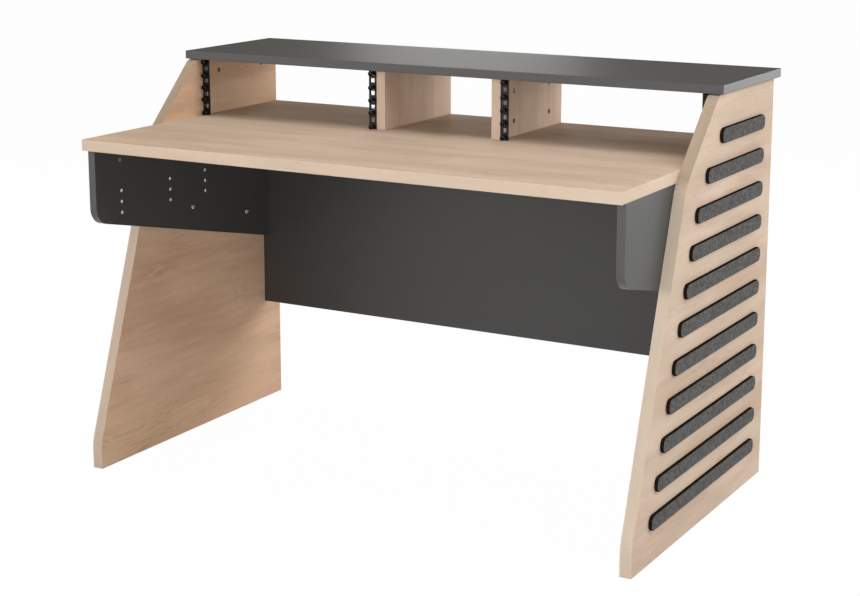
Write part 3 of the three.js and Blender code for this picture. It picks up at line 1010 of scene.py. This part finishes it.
class DeskStage(bpy.types.PropertyGroup):
    floor_size: length_prop("Floor size", "Side of the floor", 40.0, 200.0)
    floor_colour: colour_prop("Floor", "Colour of the floor", (0.74, 0.74, 0.74))
    floor_glow: share_prop("Floor glow", "Share of plain white in the floor that is seen", 0.985)
    sky_level: share_prop("Sky level", "Light from all round", 0.16, 4.0)
    sky_tint: colour_prop("Sky tint", "Tint of the light from all round", (1.0, 0.78, 0.52))
    right_level: share_prop("Right level", "Light from the right, above", 0.275, 4.0)
    low_level: share_prop("Low level", "Light from the front right, low", 0.255, 4.0)
    front_level: share_prop("Front level", "Light from the front", 0.15, 4.0)
    front_left_level: share_prop("Front left level", "Light from the front left", 0.265, 4.0)
    left_level: share_prop("Left level", "Light from the left", 0.14, 4.0)
    top_level: share_prop("Top level", "Light from above", 0.33, 4.0)
    back_level: share_prop("Back level", "Narrow light from behind, for sheen", 0.34, 4.0)
    back_right_level: share_prop("Back right level", "Light from behind, right", 0.24, 4.0)
    right_back_level: share_prop("Right back level", "Light from the right, behind", 0.30, 4.0)


GROUPS = {
    "desk_boards": DeskBoards,
    "desk_felt": DeskFelt,
    "desk_hardware": DeskHardware,
    "desk_stage": DeskStage,
}


# Operators

class DeskOperator:
    """What all the operators have in common: they make their pieces and say that they finished."""

    bl_options = {"REGISTER", "UNDO"}

    def execute(self, context):
        self.make(*[getattr(context.scene, key) for key in GROUPS])
        return {"FINISHED"}


class OakBoards(DeskOperator, bpy.types.Operator):
    """Finishes the desktop, side panels and dividers in oak"""

    bl_idname = "studio_desk.oak_boards"
    bl_label = "Oak boards"

    def make(self, boards, felt, hardware, stage):
        # Each tint paints light and shade on that board's copy of the oak.
        tints = {
            "desktop": (boards.desktop_tint, WHITE),
            "left panel": (boards.left_panel_tint, boards.left_banding_tint),
            "right panel": (boards.right_panel_tint, boards.right_banding_tint),
            "dividers": (boards.divider_tint, WHITE),
        }
        for kind, (nodes, *traits) in OAK_BOARDS.items():
            material = oak_material(f"Oak, {kind}", boards, *traits, *tints[kind])
            for node in nodes:
                finish_board(node, material, boards.edge_rounding, boards.rounding_segments)


class DarkBoards(DeskOperator, bpy.types.Operator):
    """Finishes the shelf, the modesty panel and the tray brackets in dark board"""

    bl_idname = "studio_desk.dark_boards"
    bl_label = "Dark boards"

    def make(self, boards, felt, hardware, stage):
        # The tints paint shade on the modesty panel's and the brackets' copies of the dark board.
        finishes = {
            "shelf": (boards.shelf_tint, boards.shelf_satin),
            "modesty panel": (boards.modesty_tint, boards.panel_satin),
            "brackets": (boards.bracket_tint, boards.panel_satin),
        }
        for kind, (nodes, board_axis, banding_tone) in DARK_BOARDS.items():
            tint, satin = finishes[kind]
            material = dark_board_material(
                f"Dark board, {kind}", boards, board_axis, tint, banding_tone, satin
            )
            for node in nodes:
                finish_board(node, material, boards.edge_rounding, boards.rounding_segments)


class RackRails(DeskOperator, bpy.types.Operator):
    """Finishes the four rack rails in black powder coat"""

    bl_idname = "studio_desk.rack_rails"
    bl_label = "Rack rails"

    def make(self, boards, felt, hardware, stage):
        material = powder_coat_material("Black powder coat", hardware)
        for rail in RAILS:
            finish_board(rail, material, hardware.rail_rounding, segments=2)


class RackScrews(DeskOperator, bpy.types.Operator):
    """Makes the rack screws, each part way into its cage nut"""

    bl_idname = "studio_desk.rack_screws"
    bl_label = "Rack screws and cage nuts"

    def make(self, boards, felt, hardware, stage):
        material = material_named("Black zinc", black_zinc_material, hardware)
        head_side, dome = 3.5 * MM, 1.5 * MM
        head_height = head_side + dome
        screw = pan_screw(
            head_radius=5.5 * MM,
            head_side=head_side,
            dome=dome,
            recess=2.9 * MM,
            radius=2.9 * MM,
            length=16 * MM,
            pitch=1.0 * MM,
            thread=0.45 * MM,
            tip=0.8 * MM,
        )
        for rail in RAILS:
            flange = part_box(rail)[0].y
            for number in range(1, SCREWS_PER_RAIL + 1):
                node = f"{rail}_screw_{number}"
                low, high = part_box(node)
                seat = low.y + head_height
                centre = ((low.x + high.x) / 2, seat, (low.z + high.z) / 2)
                part = placed(joined([screw, cage_nut(seat - flange)]), centre, FRONT)
                fitting(f"{rail}_rack_screw_{number}", part, material, "black_steel", node)


class RailFixings(DeskOperator, bpy.types.Operator):
    """Makes the small screws that hold the rails to the boards beside them"""

    bl_idname = "studio_desk.rail_fixings"
    bl_label = "Rail fixing screws"

    def make(self, boards, felt, hardware, stage):
        material = material_named("Black zinc", black_zinc_material, hardware)
        screw = pan_screw(
            head_radius=3.6 * MM,
            head_side=0.6 * MM,
            dome=1.1 * MM,
            recess=1.9 * MM,
            radius=RAIL_FIXING_RADIUS - RAIL_FIXING_PLAY,
            length=14 * MM,
            pitch=1.4 * MM,
            thread=0.5 * MM,
            tip=4 * MM,
            sides=24,
        )
        for rail in RAILS:
            low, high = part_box(rail)
            board_on_right = ("outer" in rail) == rail.startswith("right")
            out = -1 if board_on_right else 1
            seat = (high.x if board_on_right else low.x) + out * RAIL_SHEET
            depth = low.y + (RAIL_LEG + RAIL_SHEET) / 2
            heights = [low.z + share * (high.z - low.z) for share in RAIL_FIXING_SHARES]
            parts = [placed(screw, (seat, depth, height), (out, 0.0, 0.0)) for height in heights]
            fitting(f"{rail}_fixings", joined(parts), material, "black_steel")


class Cams(DeskOperator, bpy.types.Operator):
    """Makes the cams in their pockets in the dividers, side panels and brackets"""

    bl_idname = "studio_desk.cams"
    bl_label = "Cams"

    def make(self, boards, felt, hardware, stage):
        dark_cam_metal = material_named("Dark cam zinc", dark_cam_material, hardware)
        nickel = material_named("Nickel", nickel_material, hardware)
        shape = cam(CAM_RADIUS - CAM_PLAY, CAM_POCKET, recess=3.1 * MM)
        low_divider, high_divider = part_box("right_divider")
        low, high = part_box("right_tray_bracket")
        panel_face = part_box("right_side_panel")[0].x
        length = high_divider.y - low_divider.y
        depths = [high_divider.y - share * length for share in CAM_DEPTH_SHARES]
        shelf_height = high_divider.z - CAM_EDGE_DISTANCE
        heights = (low_divider.z + CAM_EDGE_DISTANCE, shelf_height)
        bracket_depth = low.y + BRACKET_CAM_LENGTH_SHARE * (high.y - low.y)
        divider_places = [(y, z) for y in depths for z in heights]
        panel_places = [(y, shelf_height) for y in depths]
        bracket_places = [(bracket_depth, high.z - CAM_EDGE_DISTANCE)]
        for side, sign in SIDES:
            for board, face, out, places, material, slot_name in (
                ("divider", high_divider.x, sign, divider_places, dark_cam_metal, "black_steel"),
                ("side_panel", panel_face, -sign, panel_places, dark_cam_metal, "black_steel"),
                ("tray_bracket", low.x, -sign, bracket_places, nickel, "nickel"),
            ):
                parts = [placed(shape, (sign * face, y, z), (out, 0.0, 0.0)) for y, z in places]
                fitting(f"{side}_{board}_cams", joined(parts), material, slot_name)


class TrayInserts(DeskOperator, bpy.types.Operator):
    """Makes the threaded inserts for a tray's runners in the brackets"""

    bl_idname = "studio_desk.tray_inserts"
    bl_label = "Threaded inserts"

    def make(self, boards, felt, hardware, stage):
        material = material_named("Pale zinc", pale_zinc_material, hardware)
        sleeve = insert_sleeve(INSERT_RADIUS - INSERT_PLAY, INSERT_DEPTH)
        low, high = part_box("right_tray_bracket")
        depths = [low.y + share * (high.y - low.y) for share in INSERT_LENGTH_SHARES]
        heights = [high.z - share * BRACKET_FRONT_DROP for share in INSERT_DROP_SHARES]
        for side, sign in SIDES:
            parts = [
                placed(sleeve, (sign * low.x, depth, height), (-sign, 0.0, 0.0))
                for depth in depths
                for height in heights
            ]
            fitting(f"{side}_tray_inserts", joined(parts), material, "nickel")


class BracketScrews(DeskOperator, bpy.types.Operator):
    """Makes the screws that hold the brackets to the side panels"""

    bl_idname = "studio_desk.bracket_screws"
    bl_label = "Bracket screws"

    def make(self, boards, felt, hardware, stage):
        material = material_named("Nickel", nickel_material, hardware)
        screw = pan_screw(
            head_radius=6 * MM,
            head_side=0.8 * MM,
            dome=2.2 * MM,
            recess=3.0 * MM,
            radius=3 * MM,
            length=33 * MM,
            pitch=2.6 * MM,
            thread=0.7 * MM,
            tip=7 * MM,
        )
        bracket_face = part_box("right_tray_bracket")[0].x
        for side, sign in SIDES:
            for number in range(1, SCREWS_PER_BRACKET + 1):
                node = f"{side}_bracket_screw_{number}"
                low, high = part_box(node)
                centre = (sign * bracket_face, (low.y + high.y) / 2, (low.z + high.z) / 2)
                part = placed(screw, centre, (-sign, 0.0, 0.0))
                fitting(f"{side}_bracket_wood_screw_{number}", part, material, "nickel", node)


class FeltStrips(DeskOperator, bpy.types.Operator):
    """Makes the pressed felt strips on the side panels"""

    bl_idname = "studio_desk.felt_strips"
    bl_label = "Felt strips"

    def make(self, boards, felt, hardware, stage):
        cut = felt_material(
            "Felt, cut edge", felt, felt.cut_dark, felt.cut_light, clouds=260.0, sheen=0.0
        )
        face = felt_material(
            "Felt, face", felt, felt.dark_wool, felt.light_wool, clouds=165.0, sheen=felt.sheen
        )
        for side, sign in SIDES:
            for number in range(1, STRIPS_PER_SIDE + 1):
                node = f"{side}_felt_strip_{number}"
                low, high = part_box(node)
                size = high - low
                seed = number * 10 + sign
                part, owners = felt_strip(size.y, size.z, size.x, felt.relief, seed)
                middle = (low + high) / 2
                middle.x = low.x if sign > 0 else high.x
                part = placed(part, middle, (sign, 0.0, 0.0))
                name = f"{side}_pressed_strip_{number}"
                seated(mesh_object(name, *part, [cut, face], owners), "felt", node)


class Stage(DeskOperator, bpy.types.Operator):
    """Makes the floor, the lights, the sky and the camera"""

    bl_idname = "studio_desk.stage"
    bl_label = "Stage"

    def make(self, boards, felt, hardware, stage):
        scene = bpy.context.scene
        half = stage.floor_size / 2
        corners = np.array([(-half, -half), (half, -half), (half, half), (-half, half)])
        corners = np.column_stack([corners, np.full(4, -FLOOR_DROP)])
        floor = mesh_object("floor", corners, [[0, 1, 2, 3]], [floor_material("Floor", stage)])
        for name, direction, distance, width, height, level in (
            ("Right light", (0.75, -0.15, 0.62), 3.6, 2.2, 2.2, stage.right_level),
            ("Low light", (0.55, -0.80, 0.05), 2.8, 1.2, 1.2, stage.low_level),
            ("Front light", (0.0, -0.95, 0.30), 4.0, 2.4, 2.4, stage.front_level),
            ("Front left light", (-0.50, -0.82, 0.28), 4.0, 2.2, 2.2, stage.front_left_level),
            ("Left light", (-0.95, -0.10, 0.25), 4.0, 2.2, 2.2, stage.left_level),
            ("Top light", (0.0, -0.05, 1.0), 3.2, 2.2, 2.2, stage.top_level),
            ("Back light", (-0.46, 0.89, 0.16), 4.5, 1.1, 2.2, stage.back_level),
            ("Back right light", (0.49, 0.87, 0.20), 4.5, 2.0, 2.0, stage.back_right_level),
            ("Right back light", (0.85, 0.45, 0.30), 4.0, 2.0, 2.0, stage.right_back_level),
        ):
            soft_light(name, np.array(direction), distance, width, height, level)
        scene.world = sky(stage)
        scene.camera = photo_camera()
        scene.view_settings.view_transform = "Standard"


# Stage

def floor_material(name, stage):
    """A pale floor. The camera, gloss and glass see mostly plain white, with the desk's shadow
    left in."""
    material, w, shader = new_material(name, roughness=0.9, specular_ior_level=0.1)
    cloud = w.noise(w.point(), (3.0, 3.0, 3.0))
    pale, shade = opaque(stage.floor_colour), tinted(stage.floor_colour, 0.985)
    w.feed(shader["Base Color"], w.mix(cloud, pale, shade))
    glow = w.node("ShaderNodeEmission", {"Color": opaque(WHITE), "Strength": 1.0})
    blend = w.node("ShaderNodeMixShader", {0: w.product(seen_directly(w), stage.floor_glow)})
    principled = node_of(material.node_tree, "BSDF_PRINCIPLED")
    w.feed(blend.inputs[1], principled.outputs["BSDF"])
    w.feed(blend.inputs[2], glow.outputs["Emission"])
    output = node_of(material.node_tree, "OUTPUT_MATERIAL")
    w.feed(output.inputs["Surface"], blend.outputs["Shader"])
    return material


def seen_directly(w):
    """One for camera, glossy and transmission rays, zero for the rest."""
    path = w.node("ShaderNodeLightPath").outputs
    mirrored = w.math("MAXIMUM", path["Is Glossy Ray"], path["Is Transmission Ray"])
    return w.math("MAXIMUM", path["Is Camera Ray"], mirrored)


def sky(stage):
    """A world that is plain white where it is seen, and lights the desk at its own lower level."""
    world = bpy.data.worlds.new("Sky")
    world.use_nodes = True
    w = Wiring(world.node_tree)
    dim = tinted(stage.sky_tint, stage.sky_level)
    background = node_of(world.node_tree, "BACKGROUND")
    w.feed(background.inputs["Color"], w.mix(seen_directly(w), dim, opaque(WHITE)))
    return world


def soft_light(name, direction, distance, width, height, level):
    """An elliptic light that faces the desk's middle. At its full level a surface that faces it
    renders about as it is written, so its power is the level times (pi times the distance)
    squared."""
    light = bpy.data.lights.new(name, "AREA")
    light.shape = "ELLIPSE"
    light.size = width
    light.size_y = height
    light.energy = level * (math.pi * distance) ** 2
    lamp = bpy.data.objects.new(name, light)
    bpy.context.scene.collection.objects.link(lamp)
    unit = direction / np.linalg.norm(direction)
    lamp.location = unit * distance + np.array(DESK_MIDDLE)
    lamp.rotation_euler = Vector(unit).to_track_quat("Z", "Y").to_euler()
    lamp.visible_camera = False


def photo_camera():
    """The camera at the photograph's viewing angle."""
    data = bpy.data.cameras.new("Camera")
    data.lens = CAMERA_LENS
    data.sensor_width = CAMERA_SENSOR
    data.shift_y = CAMERA_SHIFT
    camera = bpy.data.objects.new("Camera", data)
    bpy.context.scene.collection.objects.link(camera)
    camera.location = CAMERA_PLACE
    camera.rotation_euler = (math.pi / 2 - CAMERA_DOWN, 0.0, CAMERA_TURN)
    return camera


# Add-on

OPERATORS = (
    OakBoards,
    DarkBoards,
    RackRails,
    RackScrews,
    RailFixings,
    Cams,
    TrayInserts,
    BracketScrews,
    FeltStrips,
    Stage,
)


class DeskPanel(bpy.types.Panel):
    """Lists the desk's sizes and colours, and the operators that make its pieces"""

    bl_idname = "VIEW3D_PT_studio_desk"
    bl_label = "Studio desk"
    bl_space_type = "VIEW_3D"
    bl_region_type = "UI"
    bl_category = "Studio desk"

    def draw(self, context):
        for key, group in GROUPS.items():
            column = self.layout.column(align=True)
            for name in group.__annotations__:
                column.prop(getattr(context.scene, key), name)
        for operator in OPERATORS:
            self.layout.operator(operator.bl_idname)


def register():
    for key, group in GROUPS.items():
        bpy.utils.register_class(group)
        setattr(bpy.types.Scene, key, bpy.props.PointerProperty(type=group))
    for operator in OPERATORS:
        bpy.utils.register_class(operator)
    bpy.utils.register_class(DeskPanel)


def unregister():
    bpy.utils.unregister_class(DeskPanel)
    for operator in reversed(OPERATORS):
        bpy.utils.unregister_class(operator)
    for key, group in reversed(GROUPS.items()):
        delattr(bpy.types.Scene, key)
        bpy.utils.unregister_class(group)


def main():
    register()
    for operator in OPERATORS:
        name = operator.bl_idname.split(".")[1]
        if getattr(bpy.ops.studio_desk, name)() != {"FINISHED"}:
            raise RuntimeError(f"{operator.bl_label} couldn't be made")


if __name__ == "__main__":
    main()
